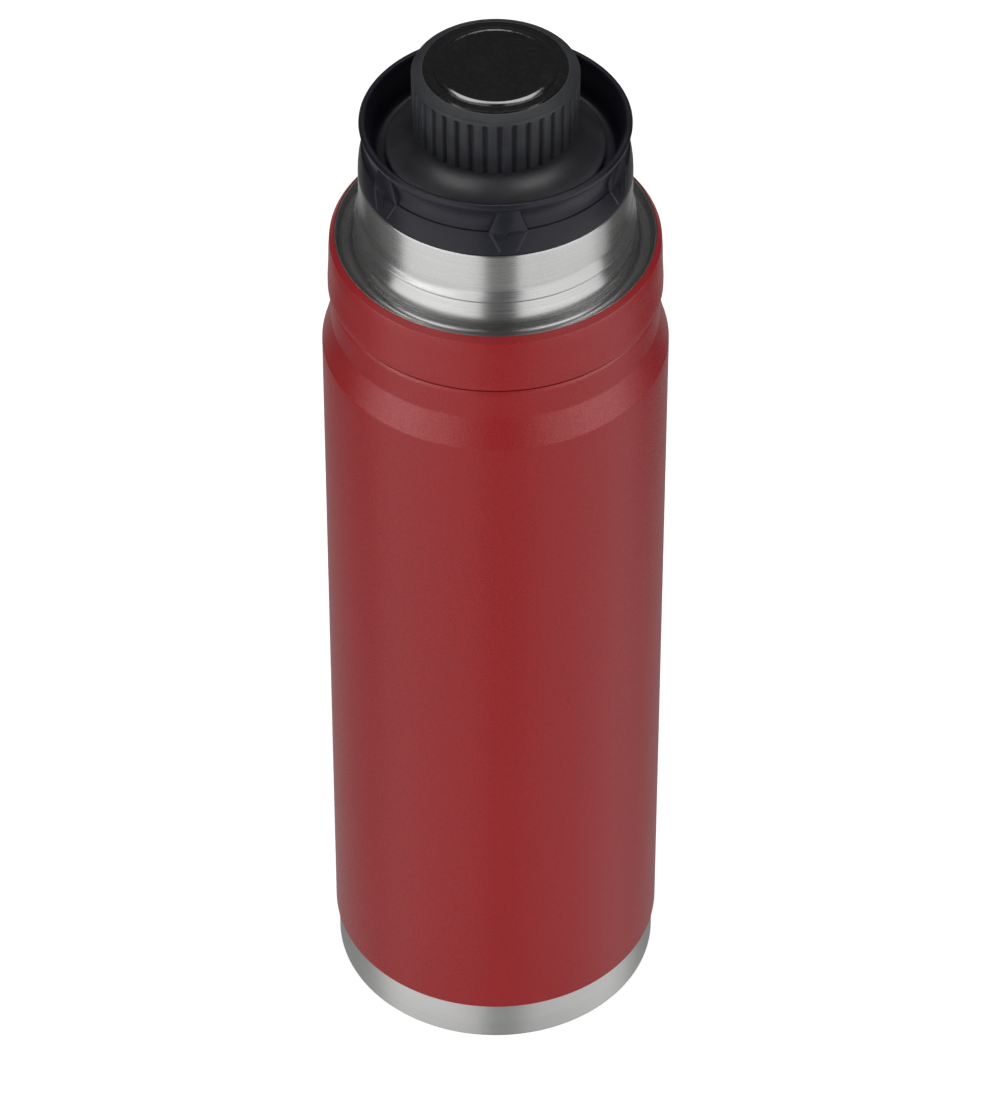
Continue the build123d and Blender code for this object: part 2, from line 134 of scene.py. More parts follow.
def ring_grid(name, R, Z, az, sharp=32.0):
    """A closed body of revolution whose closed profile may vary with azimuth.
    R and Z are (profile, azimuth) arrays in mm, az is in radians from the
    front (-Y) towards +X.  Profile points with r = 0 collapse to the axis."""
    n, m = R.shape
    verts, index = [], []
    sa, ca = np.sin(az), -np.cos(az)
    for i in range(n):
        if R[i].max() < 1e-6:
            index.append([len(verts)] * m)
            verts.append((0, 0, Z[i, 0] * MM))
        else:
            index.append(list(range(len(verts), len(verts) + m)))
            verts.extend(zip(R[i] * sa * MM, R[i] * ca * MM, Z[i] * MM))
    faces = []
    for i in range(n):
        a, b = index[i], index[(i + 1) % n]
        pa, pb = a[0] == a[1], b[0] == b[1]
        if pa and pb:
            continue
        for j in range(m):
            k = (j + 1) % m
            if pa:
                faces.append((a[j], b[j], b[k]))
            elif pb:
                faces.append((a[j], b[j], a[k]))
            else:
                faces.append((a[j], b[j], b[k], a[k]))
    return new_object(name, verts, faces, sharp)


def revolved(name, pts, segs=256, sharp=32.0):
    pts = np.array(pts, float)
    az = np.arange(segs) * 2 * math.pi / segs
    R = np.repeat(pts[:, :1], segs, 1)
    Z = np.repeat(pts[:, 1:2], segs, 1)
    return ring_grid(name, R, Z, az, sharp)


def helix_ridge(name, pitch, turns, z0, az0, r_root, r_crest, w_root, w_crest, fade=0.08, segs=220):
    """A thread ridge with run-in and run-out; the azimuth grows anticlockwise
    from az0 (degrees from the front towards +X) and the ridge rises with it."""
    verts, faces = [], []
    n = max(12, int(segs * turns))
    for i in range(n + 1):
        u = i / n
        f = min(1.0, u / fade, (1 - u) / fade)
        f = 0.02 + 0.98 * (f * f * (3 - 2 * f))
        a = math.radians(az0) + u * turns * 2 * math.pi
        z = z0 + u * turns * pitch
        d = (r_crest - r_root) * f
        wc = w_crest * (0.35 + 0.65 * f)
        wr = w_root * (0.45 + 0.55 * f)
        prof = [(0, -wr / 2), (0.55 * d, -(wc * 0.62 + wr * 0.38) / 2), (0.93 * d, -wc / 2 * 1.02),
                (d, -wc / 2 * 0.7), (d, wc / 2 * 0.7), (0.93 * d, wc / 2 * 1.02),
                (0.55 * d, (wc * 0.62 + wr * 0.38) / 2), (0, wr / 2)]
        for dr, dz in prof:
            r = r_root + dr
            verts.append((r * math.sin(a) * MM, -r * math.cos(a) * MM, (z + dz) * MM))
    k = 8
    for i in range(n):
        for j in range(k):
            q = (j + 1) % k
            faces.append((i * k + j, i * k + q, (i + 1) * k + q, (i + 1) * k + j))
    faces.append(tuple(range(k)))
    faces.append(tuple(range(n * k, n * k + k))[::-1])
    return new_object(name, verts, faces, 40)


def union(ob, others, sharp=32.0):
    """Joins closed pieces into one clean body."""
    for o in others:
        mod = ob.modifiers.new("join", "BOOLEAN")
        mod.operation = "UNION"
        mod.solver = "EXACT"
        mod.object = o
        bpy.context.view_layer.update()
        dg = bpy.context.evaluated_depsgraph_get()
        me = bpy.data.meshes.new_from_object(ob.evaluated_get(dg))
        if len(me.polygons) > 10:
            ob.modifiers.clear()
            ob.data = me
        else:
            ob.modifiers.clear()
            print("union failed", o.name)
        bpy.data.objects.remove(o)
    me = ob.data
    bm = bmesh.new()
    bm.from_mesh(me)
    bmesh.ops.remove_doubles(bm, verts=bm.verts, dist=1e-7)
    bmesh.ops.dissolve_degenerate(bm, dist=1e-7, edges=bm.edges)
    bm.to_mesh(me)
    bm.free()
    me.polygons.foreach_set("use_smooth", [True] * len(me.polygons))
    me.set_sharp_from_angle(angle=math.radians(sharp))
    me.update()
    return ob


# ------------------------------------------------------------------ materials
def material(name):
    m = bpy.data.materials.new(name)
    m.use_nodes = True
    nt = m.node_tree
    nt.nodes.clear()
    out = nt.nodes.new("ShaderNodeOutputMaterial")
    b = nt.nodes.new("ShaderNodeBsdfPrincipled")
    nt.links.new(b.outputs[0], out.inputs[0])
    return m, nt, b


class Graph:
    def __init__(self, nt):
        self.nt = nt
        self.co = nt.nodes.new("ShaderNodeTexCoord").outputs["Object"]

    def mapped(self, scale):
        n = self.nt.nodes.new("ShaderNodeMapping")
        n.inputs["Scale"].default_value = scale
        self.nt.links.new(self.co, n.inputs["Vector"])
        return n.outputs[0]

    def noise(self, scale=(1, 1, 1), detail=2.0, rough=0.5, w=None):
        n = self.nt.nodes.new("ShaderNodeTexNoise")
        n.inputs["Scale"].default_value = 1.0
        n.inputs["Detail"].default_value = detail
        n.inputs["Roughness"].default_value = rough
        self.nt.links.new(self.mapped(scale), n.inputs["Vector"])
        return n.outputs["Fac"]

    def voronoi(self, scale, feature="F1"):
        n = self.nt.nodes.new("ShaderNodeTexVoronoi")
        n.feature = feature
        n.inputs["Scale"].default_value = 1.0
        self.nt.links.new(self.mapped(scale), n.inputs["Vector"])
        return n.outputs["Distance"]

    def ramp(self, src, stops):
        n = self.nt.nodes.new("ShaderNodeValToRGB")
        e = n.color_ramp.elements
        while len(e) < len(stops):
            e.new(0.5)
        for q, (pos, col) in zip(e, stops):
            q.position = pos
            q.color = col if len(col) == 4 else (*col, 1)
        self.nt.links.new(src, n.inputs[0])
        return n.outputs[0]

    def range(self, src, a, b, c, d, clamp=True):
        n = self.nt.nodes.new("ShaderNodeMapRange")
        n.clamp = clamp
        for k, v in zip(("From Min", "From Max", "To Min", "To Max"), (a, b, c, d)):
            n.inputs[k].default_value = v
        self.nt.links.new(src, n.inputs["Value"])
        return n.outputs[0]

    def math(self, op, a, b):
        n = self.nt.nodes.new("ShaderNodeMath")
        n.operation = op
        for i, v in enumerate((a, b)):
            if isinstance(v, (int, float)):
                n.inputs[i].default_value = v
            else:
                self.nt.links.new(v, n.inputs[i])
        return n.outputs[0]

    def mix(self, fac, a, b):
        n = self.nt.nodes.new("ShaderNodeMix")
        n.data_type = "RGBA"
        for key, v in (("Factor", fac), ("A", a), ("B", b)):
            sock = [s for s in n.inputs if s.name == key and s.enabled][0]
            if isinstance(v, (int, float)):
                sock.default_value = v
            elif isinstance(v, tuple):
                sock.default_value = v if len(v) == 4 else (*v, 1)
            else:
                self.nt.links.new(v, sock)
        return [s for s in n.outputs if s.enabled][0]

    def bump(self, height, strength, distance, normal=None):
        n = self.nt.nodes.new("ShaderNodeBump")
        n.inputs["Strength"].default_value = strength
        n.inputs["Distance"].default_value = distance
        self.nt.links.new(height, n.inputs["Height"])
        if normal is not None:
            self.nt.links.new(normal, n.inputs["Normal"])
        return n.outputs[0]

    def to(self, src, sock):
        self.nt.links.new(src, sock)


def powder_coat():
    """Satin powder coat: fine orange peel over a tighter grain, slight shade
    drift, tiny paler grains and faint rub along the height."""
    m, nt, b = material("powder_coat_red")
    g = Graph(nt)
    drift = g.noise((22, 22, 9), 3.0, 0.55)
    grain = g.noise((2600, 2600, 2600), 2.0, 0.6)
    peel = g.noise((900, 900, 900), 2.0, 0.5)
    base = g.mix(g.range(drift, 0.3, 0.7, 0, 1), (0.330, 0.0172, 0.0205), (0.352, 0.0198, 0.0228))
    fleck = g.range(grain, 0.62, 0.74, 0.0, 0.35)
    g.to(g.mix(fleck, base, (0.40, 0.042, 0.047)), b.inputs["Base Color"])
    r = g.math("ADD", g.range(grain, 0.25, 0.75, 0.25, 0.34), g.range(drift, 0.3, 0.7, -0.02, 0.02))
    g.to(r, b.inputs["Roughness"])
    n1 = g.bump(peel, 0.10, 0.0002)
    n2 = g.bump(grain, 0.55, 0.00010, n1)
    g.to(n2, b.inputs["Normal"])
    b.inputs["Specular IOR Level"].default_value = 0.24
    return m


def turned_steel(name, rough, tint, streak=1.0, aniso=0.65, painted_gutter_shade=None):
    """Turned stainless steel: fine rings round the axis in shade, roughness
    and height, with a few deeper scratches and faint smudges.  The last argument gives
    two heights (mm) between which the base colour darkens into painted shade in the gutter, darkest below the lower
    height."""
    m, nt, b = material(name)
    g = Graph(nt)
    fine = g.noise((18, 18, 9000), 3.0, 0.62)
    wide = g.noise((14, 14, 2200), 2.0, 0.5)
    smudge = g.noise((70, 70, 70), 3.0, 0.55)
    lo = tuple(c * 0.90 for c in tint)
    hi = tuple(min(1.0, c * 1.06) for c in tint)
    c1 = g.mix(g.range(fine, 0.3, 0.7, 0, 1), lo, hi)
    c2 = g.mix(g.range(smudge, 0.45, 0.75, 0.0, 0.18), c1, tuple(c * 0.84 for c in tint))
    # painted shade: the base colour is darkened towards the bottom of the gutter, standing in for the shadow in the
    # recess
    if painted_gutter_shade:
        xyz = nt.nodes.new("ShaderNodeSeparateXYZ")
        nt.links.new(g.co, xyz.inputs[0])
        c2 = g.mix(g.range(xyz.outputs["Z"], painted_gutter_shade[0] * MM, painted_gutter_shade[1] * MM, 0.0, 1.0), c2, tuple(c * 0.66 for c in tint))
    g.to(c2, b.inputs["Base Color"])
    r = g.math("ADD", g.range(fine, 0.3, 0.7, rough - 0.05 * streak, rough + 0.06 * streak),
               g.range(smudge, 0.4, 0.75, 0.0, 0.05))
    g.to(g.math("ADD", r, g.range(wide, 0.3, 0.7, -0.02, 0.02)), b.inputs["Roughness"])
    g.to(g.bump(fine, 0.10 * streak, 0.00003, g.bump(wide, 0.05, 0.00004)), b.inputs["Normal"])
    b.inputs["Metallic"].default_value = 1.0
    b.inputs["Anisotropic"].default_value = aniso
    b.inputs["Anisotropic Rotation"].default_value = 0.25
    tan = nt.nodes.new("ShaderNodeTangent")
    tan.direction_type = "RADIAL"
    tan.axis = "Z"
    nt.links.new(tan.outputs[0], b.inputs["Tangent"])
    return m


def moulded(name, dark, light, rough, grain_scale, grain_bump, spec=0.5, coat=0.0):
    """Moulded black plastic: low mottling, texture grain and slight wear."""
    m, nt, b = material(name)
    g = Graph(nt)
    mottle = g.noise((160, 160, 160), 3.0, 0.5)
    grain = g.noise((grain_scale,) * 3, 2.0, 0.65)
    g.to(g.mix(g.range(g.math("ADD", mottle, g.math("MULTIPLY", grain, 0.5)), 0.55, 0.95, 0, 1), dark, light),
         b.inputs["Base Color"])
    g.to(g.math("ADD", g.range(grain, 0.3, 0.7, rough - 0.05, rough + 0.06), g.range(mottle, 0.3, 0.7, -0.02, 0.03)),
         b.inputs["Roughness"])
    g.to(g.bump(grain, grain_bump, 0.00008), b.inputs["Normal"])
    b.inputs["Specular IOR Level"].default_value = spec
    if coat:
        b.inputs["Coat Weight"].default_value = coat
        b.inputs["Coat Roughness"].default_value = 0.08
    return m


def lacquered(m):
    b = [n for n in m.node_tree.nodes if n.type == "BSDF_PRINCIPLED"][0]
    b.inputs["Specular IOR Level"].default_value = 0.85
    b.inputs["IOR"].default_value = 1.6
    return m


def plain_metal(name, tint, rough, scale=(400, 400, 400)):
    m, nt, b = material(name)
    g = Graph(nt)
    n = g.noise(scale, 3.0, 0.6)
    g.to(g.mix(g.range(n, 0.3, 0.7, 0, 1), tuple(c * 0.88 for c in tint), tint), b.inputs["Base Color"])
    g.to(g.range(n, 0.3, 0.7, rough - 0.05, rough + 0.07), b.inputs["Roughness"])
    g.to(g.bump(n, 0.1, 0.0001), b.inputs["Normal"])
    b.inputs["Metallic"].default_value = 1.0
    return m


def soft(name, a, c, rough, scale, bump, ior=0.5):
    m, nt, b = material(name)
    g = Graph(nt)
    n = g.noise((scale,) * 3, 3.0, 0.6)
    g.to(g.mix(g.range(n, 0.3, 0.7, 0, 1), a, c), b.inputs["Base Color"])
    g.to(g.range(n, 0.3, 0.7, rough - 0.06, rough + 0.06), b.inputs["Roughness"])
    g.to(g.bump(n, bump, 0.0002), b.inputs["Normal"])
    b.inputs["Specular IOR Level"].default_value = ior
    return m


RED = powder_coat()
# the neck steel gets painted shade in its gutter, fading in from 216.7 mm down to full at 215.6 mm
STEEL = turned_steel("turned_steel_neck", 0.27, (0.635, 0.634, 0.630), 0.9, 0.72, painted_gutter_shade=(216.7, 215.6))
STEEL_BASE = turned_steel("turned_steel_base", 0.38, (0.64, 0.637, 0.628), 1.2, 0.6)
INNER = turned_steel("polished_liner_steel", 0.20, (0.62, 0.62, 0.615), 0.6, 0.3)
BLACK = moulded("moulded_black", (0.0085, 0.0088, 0.0160), (0.0120, 0.0124, 0.0215), 0.34, 1500, 0.10, 0.34)
BELL = moulded("satin_black", (0.0225, 0.0230, 0.0285), (0.0350, 0.0357, 0.0420), 0.38, 3200, 0.45, 0.90)
KNOB = moulded("textured_black", (0.0250, 0.0260, 0.0315), (0.0410, 0.0425, 0.0490), 0.46, 3200, 0.70)
GLOSS = lacquered(moulded("polished_black", (0.0022, 0.0022, 0.0028), (0.0034, 0.0034, 0.0042), 0.13, 900, 0.02))
SILICONE = soft("grey_silicone", (0.42, 0.42, 0.40), (0.50, 0.50, 0.48), 0.55, 900, 0.15)
COPPER = plain_metal("copper_foil", (0.78, 0.46, 0.30), 0.28, (300, 300, 60))
GETTER = plain_metal("getter_metal", (0.42, 0.42, 0.43), 0.5)
SOLDER = soft("glass_solder", (0.22, 0.26, 0.24), (0.30, 0.34, 0.31), 0.25, 600, 0.1)
FOAM = soft("closed_cell_foam", (0.78, 0.77, 0.72), (0.88, 0.87, 0.83), 0.85, 1600, 0.6)


def dress(ob, mat, body=None, node=None):
    ob.data.materials.clear()
    ob.data.materials.append(mat)
    if body:
        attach(ob, body)
    if node:
        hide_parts(node)
    return ob


# ------------------------------------------------------------------ coated shell
shoulder = rounded([(38.0, 184.0), (38.0, 187.65, 1.8), (35.97, 195.0, 2.4), (35.90, 201.0), (35.88, 202.38), (35.80, 202.48)],
                   closed=False, step=0.22)
inner = [(max(r - 1.0, 34.9), z) for r, z in shoulder[::-3]]
shell = np.vstack([rounded([(37.2, 10.86), (38.0, 10.86, 0.38), (38.0, 60.0)], closed=False),
                   subdivide(np.array([(38.0, 60.0), (38.0, 184.0)]), 8.0, closed=False)[1:],
                   shoulder[1:],
                   np.array([(35.3, 202.50), (35.1, 202.62), (35.1, 207.0), (34.9, 207.0), (34.9, 203.2)]),
                   np.array(inner),
                   np.array([(37.0, 184.0), (37.0, 120.0), (37.0, 60.0), (37.0, 10.86)])])
shell = np.vstack([shell[:1]] + [shell[i:i + 1] for i in range(1, len(shell)) if np.linalg.norm(shell[i] - shell[i - 1]) > 1e-3])
body_shell = dress(revolved("body_shell_skin", shell, 288, 40), RED, "flask", "body_shell")

ring = rounded([(35.1, 203.3), (36.50, 203.3, 0.22), (36.50, 205.2, 6.0), (36.28, 209.2, 20.0), (36.16, 213.4, 12.0),
                (35.98, 216.05, 0.75), (35.02, 217.36, 0.16), (34.9, 217.42, 0.05), (34.9, 207.0), (35.1, 207.0)])
collar_ring = dress(revolved("collar_ring_skin", ring, 288, 40), RED, "flask", "collar_ring")

# ------------------------------------------------------------------ steel neck
# a level bead all round; above it a rolled helical ridge, whose upper edge
# starts with a blunt nose at the left front and climbs to the right
AZ = np.radians(np.arange(0, 360, 0.75))
DEG = (np.degrees(AZ) + 180.0) % 360.0 - 180.0


def sstep(x, lo, hi):
    t = np.clip((x - lo) / (hi - lo), 0, 1)
    return t * t * (3 - 2 * t)


def smax(a, b, k):
    h = np.clip(0.5 + 0.5 * (a - b) / k, 0, 1)
    return b + (a - b) * h + k * h * (1 - h)


zz = np.concatenate([np.arange(233.2, 227.2, -1.0), np.arange(226.9, 217.05, -0.085)])
run = (np.degrees(AZ) + 46.0) % 360.0
zu = 223.95 + 8.2 * run / 360.0                                    # upper edge
zu = 224.00 + (zu - 224.00) * sstep(run, 0.0, 26.0) * (1 - sstep(run, 92.0, 150.0))
Zg, ZU = np.meshgrid(zz, zu, indexing="ij")
wave = 0.12 * np.cos(np.radians(DEG - 15.0))[None, :]
CREST = 222.90 + wave
H = 0.93
flank = H * np.clip((ZU - Zg) / (ZU - CREST), -0.2, 1.0)
flank = smax(flank, np.zeros_like(flank), 0.10)
under = np.clip((CREST - Zg) / 1.05, 0, 1)                         # fall below the crest
crest = np.where(Zg >= CREST - 0.05, flank, H * (1 - under ** 1.3))
groove = -0.26 * np.exp(-((Zg - (CREST - 1.15)) / 0.36) ** 2)
roll = curve([(29.50, 222.4), (29.48, 221.9), (29.52, 221.45), (29.66, 220.9), (29.93, 220.3), (30.24, 219.7), (30.50, 219.1),
              (30.66, 218.5), (30.74, 217.9), (30.77, 217.3), (30.78, 216.6)], 6)
low = np.interp(Zg, roll[::-1, 1], roll[::-1, 0])                   # a wider roll below the groove
RF = low + np.where(Zg >= CREST - 1.06, crest, 0.0) + groove
# soften the height field along the neck a little
ker = np.array([1, 3, 4, 3, 1], float); ker /= ker.sum()
for _ in range(4):
    pad = np.pad(RF, ((2, 2), (0, 0)), mode="edge")
    RF = sum(ker[q] * pad[q:q + RF.shape[0]] for q in range(5))
    pad = np.concatenate([RF[:, -2:], RF, RF[:, :2]], axis=1)
    RF = sum(ker[q] * pad[:, q:q + RF.shape[1]] for q in range(5))

lower = [(30.79, 216.75), (30.82, 216.3), (30.92, 215.85), (31.14, 215.45), (31.50, 215.12), (32.0, 214.93), (32.6, 214.88),
         (33.2, 214.98), (33.7, 215.22), (34.08, 215.6), (34.32, 216.05), (34.44, 216.5), (34.5, 216.9), (34.54, 217.12),
         (34.66, 217.24), (34.80, 217.24), (34.9, 217.15)]
back = [(34.9, 212.0), (34.9, 207.0), (34.9, 202.5), (34.4, 202.5), (34.4, 207.0), (34.4, 213.6), (33.4, 214.2),
        (31.6, 214.3), (29.9, 215.8), (29.3, 217.6), (29.0, 221.0), (28.9, 224.0), (28.9, 230.0), (28.9, 234.1),
        (27.35, 234.6), (27.35, 236.4)]
upper = [(27.95, 236.4), (27.95, 235.6), (27.97, 235.12), (28.2, 235.0), (29.2, 235.0), (29.40, 234.96), (29.5, 234.82),
         (29.5, 234.4)]
m = len(AZ)
wide = lambda pts: (np.repeat(np.array(pts)[:, :1], m, 1), np.repeat(np.array(pts)[:, 1:2], m, 1))
parts_r, parts_z = [], []
for seg in (upper, None, lower, back):
    r_, z_ = wide(seg) if seg is not None else (RF, Zg)
    parts_r.append(r_)
    parts_z.append(z_)
neck = ring_grid("neck_shell_skin", np.vstack(parts_r), np.vstack(parts_z), AZ, 50)
dress(neck, STEEL, "flask", "neck_shell")

base = rounded([(0, 2.2), (31.6, 2.2, 0.6), (32.9, 0.25, 0.5), (33.6, 0, 0.4), (36.9, 0, 0.5), (37.3, 0.45, 0.5),
                (37.3, 10.7, 0.1), (37.0, 10.86), (37.0, 16.5), (36.4, 16.5), (36.4, 1.6), (33.9, 1.0), (32.4, 3.0), (0, 3.0)])
base_cup = dress(revolved("base_cup_skin", subdivide(base, 5.0), 288, 30), STEEL_BASE, "flask", "base_cup")

# ------------------------------------------------------------------ pour collar
skirt = curve([(29.48, 235.5), (29.40, 237.0), (29.22, 238.6), (28.98, 240.0), (28.82, 240.6)], 5)
flare = curve([(28.32, 241.15), (28.05, 241.7), (27.95, 242.4), (28.02, 243.4), (28.25, 244.7), (28.66, 246.1),
               (29.05, 247.05)], 5)
rim_in = curve([(27.62, 247.85), (27.40, 247.2), (27.15, 246.0), (26.85, 244.4), (26.45, 242.4), (26.05, 241.0),
                (25.5, 240.3), (24.6, 240.0)], 5)
collar = np.vstack([
    rounded([(28.3, 238.4), (28.3, 235.2, 0.12), (29.48, 235.2, 0.22), (29.48, 235.5)], closed=False),
    skirt[1:],
    rounded([(28.82, 240.6), (28.72, 241.0, 0.25), (28.32, 241.15)], closed=False)[1:],
    flare[1:],
    rounded([(29.05, 247.05), (29.20, 247.75, 0.45), (28.80, 248.30, 0.40), (27.95, 248.30, 0.35), (27.62, 247.85)], closed=False)[1:],
    rim_in[1:],
    np.array([(23.4, 240.0), (22.8, 240.0), (22.2, 239.4), (22.2, 233.0), (22.2, 225.0), (22.2, 218.0), (19.8, 215.5),
              (19.8, 214.0), (23.7, 214.0), (24.5, 214.8), (24.5, 222.0), (24.5, 230.0), (24.5, 238.4)])])
pour = revolved("pour_collar_skin", collar, 256, 34)


def lug_parts(k):
    """One hexagonal lug: a buttress in the waist and slanted ribs on the skirt."""
    az = math.radians(5.4 + 60 * k)
    rad = Vector((math.sin(az), -math.cos(az), 0))
    tan = Vector((math.cos(az), math.sin(az), 0))
    up = Vector((0, 0, 1))

    def solid(name, outline, r_in, r_out, bevel):
        """outline: list of (t, z) mm; r_out may be a function of (t, z)."""
        bmx = bmesh.new()
        lo, hi = [], []
        for t, z in outline:
            ro = r_out(t, z) if callable(r_out) else r_out
            lo.append(bmx.verts.new((rad * r_in + tan * t + up * z) * MM))
            hi.append(bmx.verts.new((rad * ro + tan * t + up * z) * MM))
        bmx.faces.new(lo)
        top = bmx.faces.new(hi)
        n = len(lo)
        for i in range(n):
            j = (i + 1) % n
            bmx.faces.new((lo[i], lo[j], hi[j], hi[i]))
        bmesh.ops.recalc_face_normals(bmx, faces=bmx.faces)
        bmesh.ops.bevel(bmx, geom=list(top.edges), offset=bevel * MM, segments=2, affect="EDGES", profile=0.5)
        me = bpy.data.meshes.new(name)
        bmx.to_mesh(me)
        bmx.free()
        o = bpy.data.objects.new(name, me)
        scene.collection.objects.link(o)
        return o

    mid, topw, loww = 4.15, 2.3, 2.05
    zt, zm, zl = 246.75, 241.15, 236.2
    rr = lambda t, z: math.sqrt(max(0.0, 28.92 ** 2 - t * t)) + (0.0 if z < 244 else 0.03)
    parts = [solid("buttress", [(-mid, zm), (-topw, zt), (0, zt), (topw, zt), (mid, zm), (mid - 0.1, 240.2), (0, 240.2), (-mid + 0.1, 240.2)],
                   27.55, rr, 0.16)]
    for s in (-1, 1):
        # a low ridge with two sloping faces, lofted down the skirt
        bmx = bmesh.new()
        secs = []
        for u in (0.0, 0.2, 0.4, 0.6, 0.8, 1.0):
            z = (zm - 0.25) * (1 - u) + zl * u
            tc = s * ((mid - 0.28) * (1 - u) + (loww - 0.28) * u)
            rs = float(np.interp(z, [235.5, 237.0, 238.6, 240.0, 240.6], [29.48, 29.40, 29.22, 28.98, 28.82]))
            sec = []
            for dt, dr in ((-0.31, -0.7), (-0.31, 0.02), (0.0, 0.18), (0.31, 0.02), (0.31, -0.7)):
                t = tc + dt
                sec.append(bmx.verts.new((rad * math.sqrt((rs + dr) ** 2 - t * t) + tan * t + up * z) * MM))
            secs.append(sec)
        for a, b in zip(secs, secs[1:]):
            for i in range(5):
                bmx.faces.new((a[i], a[(i + 1) % 5], b[(i + 1) % 5], b[i]))
        bmx.faces.new(secs[0])
        bmx.faces.new(secs[-1][::-1])
        bmesh.ops.recalc_face_normals(bmx, faces=bmx.faces)
        me = bpy.data.meshes.new("rib")
        bmx.to_mesh(me)
        bmx.free()
        o = bpy.data.objects.new("rib", me)
        scene.collection.objects.link(o)
        parts.append(o)
    parts.append(solid("tick", [(-0.13, 237.6), (0.13, 237.6), (0.13, 240.3), (-0.13, 240.3)], 28.3,
                       lambda t, z: 29.52 if z < 239 else 29.17, 0.07))
    return parts


extras = []
for k in range(6):
    extras += lug_parts(k)
extras.append(helix_ridge("male", 6.0, 0.95, 222.4, 0.0, 24.3, 25.75, 2.3, 1.0))
extras.append(helix_ridge("bore_a", 4.5, 0.7, 228.2, 0.0, 22.4, 21.1, 1.6, 0.8))
extras.append(helix_ridge("bore_b", 4.5, 0.7, 228.2 + 3.6, 288.0, 22.4, 21.1, 1.6, 0.8))
union(pour, extras, 34)
dress(pour, BLACK, "spout", "pour_collar")

# ------------------------------------------------------------------ stopper
# knob: 36 narrow grooves with rounded tops and edges, open at the bottom
offs = [0.0, 0.22, 0.45, 0.7, 0.95, 1.2, 1.45, 1.7, 1.95, 2.2, 2.45, 2.9, 3.6, 4.3]
cols_az = []
for f in range(36):
    c = 2.9 + 10.0 * f
    for o in offs:
        cols_az.append(c + o)
    cols_az.append(c + 5.0)
    for o in offs[:0:-1]:
        cols_az.append(c + 10.0 - o)
KA = np.radians(np.array(cols_az))
side_z = [247.62, 247.8, 248.2, 249.5, 251.5, 254.0, 256.5, 258.5, 259.6, 260.0, 260.2, 260.35, 260.45, 260.55, 260.65,
          260.75, 260.85, 260.92]
outer = [(17.50, 247.5), (17.62, 247.52)]
outer += [(17.70 + 0.20 * min(1, (z - 247.62) / 5.0), z) for z in side_z]
outer += [(17.86, 261.02), (17.80, 261.12), (17.70, 261.22), (17.56, 261.31), (17.38, 261.41), (17.1, 261.54), (16.6, 261.78),
          (16.2, 261.96), (15.9, 262.10), (15.66, 262.20), (15.56, 262.22), (15.50, 262.20), (15.46, 262.12), (15.45, 262.0),
          (15.45, 261.4), (0, 261.4), (0, 259.3), (14.2, 259.3), (15.9, 257.6), (15.9, 252.0), (15.9, 247.5)]
outer = np.array(outer)
R = np.repeat(outer[:, :1], len(KA), 1)
Z = np.repeat(outer[:, 1:2], len(KA), 1)
ph = (np.degrees(KA) - 2.9 + 5.0) % 10.0 - 5.0
s = np.abs(ph) * math.pi / 180 * 17.9                       # mm from the groove's centre line
half, D = 0.74, 0.86
smooth = lambda x: np.clip(x, 0, 1) ** 2 * (3 - 2 * np.clip(x, 0, 1))
side = smooth(1 - s / half) ** 0.85
crown = 0.10 * np.clip((s - 0.74) / 0.82, 0, 1) ** 2                # ribs are slightly crowned
z_end = 260.15 + 0.35 * (1 - (s / half) ** 2)
for i in range(len(outer)):
    if outer[i, 0] > 17.1 and outer[i, 1] < 261.6:
        end = 1 - smooth((outer[i, 1] - (z_end - 0.42)) / 0.62)
        R[i] -= D * side * end + 0.10 * np.clip(1 - s / 1.56, 0, 1) * end
knob = ring_grid("stopper_knob_skin", R, Z, KA, 40)
dress(knob, KNOB, "stopper", "stopper_knob")

disc = rounded([(0, 261.4), (15.45, 261.4), (15.45, 262.16), (15.16, 262.41, 0.05), (13.30, 262.42, 0.08), (13.22, 262.72, 0.12), (12.40, 262.96, 0.20),
                (11.95, 262.98, 0.20), (11.55, 262.90, 0.5), (0, 262.86)], step=0.05)
knob_disc = dress(revolved("knob_top_disc_skin", subdivide(disc, 2.0), 256, 40), GLOSS, "stopper", "knob_top_disc")

# bell, spigot and hollow barrel
bell = curve([(17.45, 247.45), (17.62, 246.7), (18.15, 245.6), (19.2, 244.3), (20.6, 243.2), (22.2, 242.3), (23.35, 241.8)], 6)
barrel = np.vstack([
    np.array([(0, 259.3), (14.2, 259.3), (15.9, 257.6), (15.9, 252.0), (15.9, 247.5), (17.3, 247.5)]),
    bell,
    rounded([(23.35, 241.8), (23.62, 241.62, 0.15), (23.6, 241.0, 0.2), (23.2, 241.0)], closed=False)[1:],
    np.array([(20.7, 241.0), (20.7, 236.0), (20.7, 228.0), (20.7, 219.2), (17.8, 219.2), (17.8, 216.0), (16.6, 216.0),
              (16.6, 230.0), (16.6, 243.5), (13.8, 246.0), (13.8, 257.3), (0, 257.3)])])
stop = revolved("stopper_body_skin", barrel, 256, 34)
union(stop, [helix_ridge("male2", 4.5, 1.5, 226.75, 0.0, 20.5, 21.82, 1.6, 0.8)], 34)
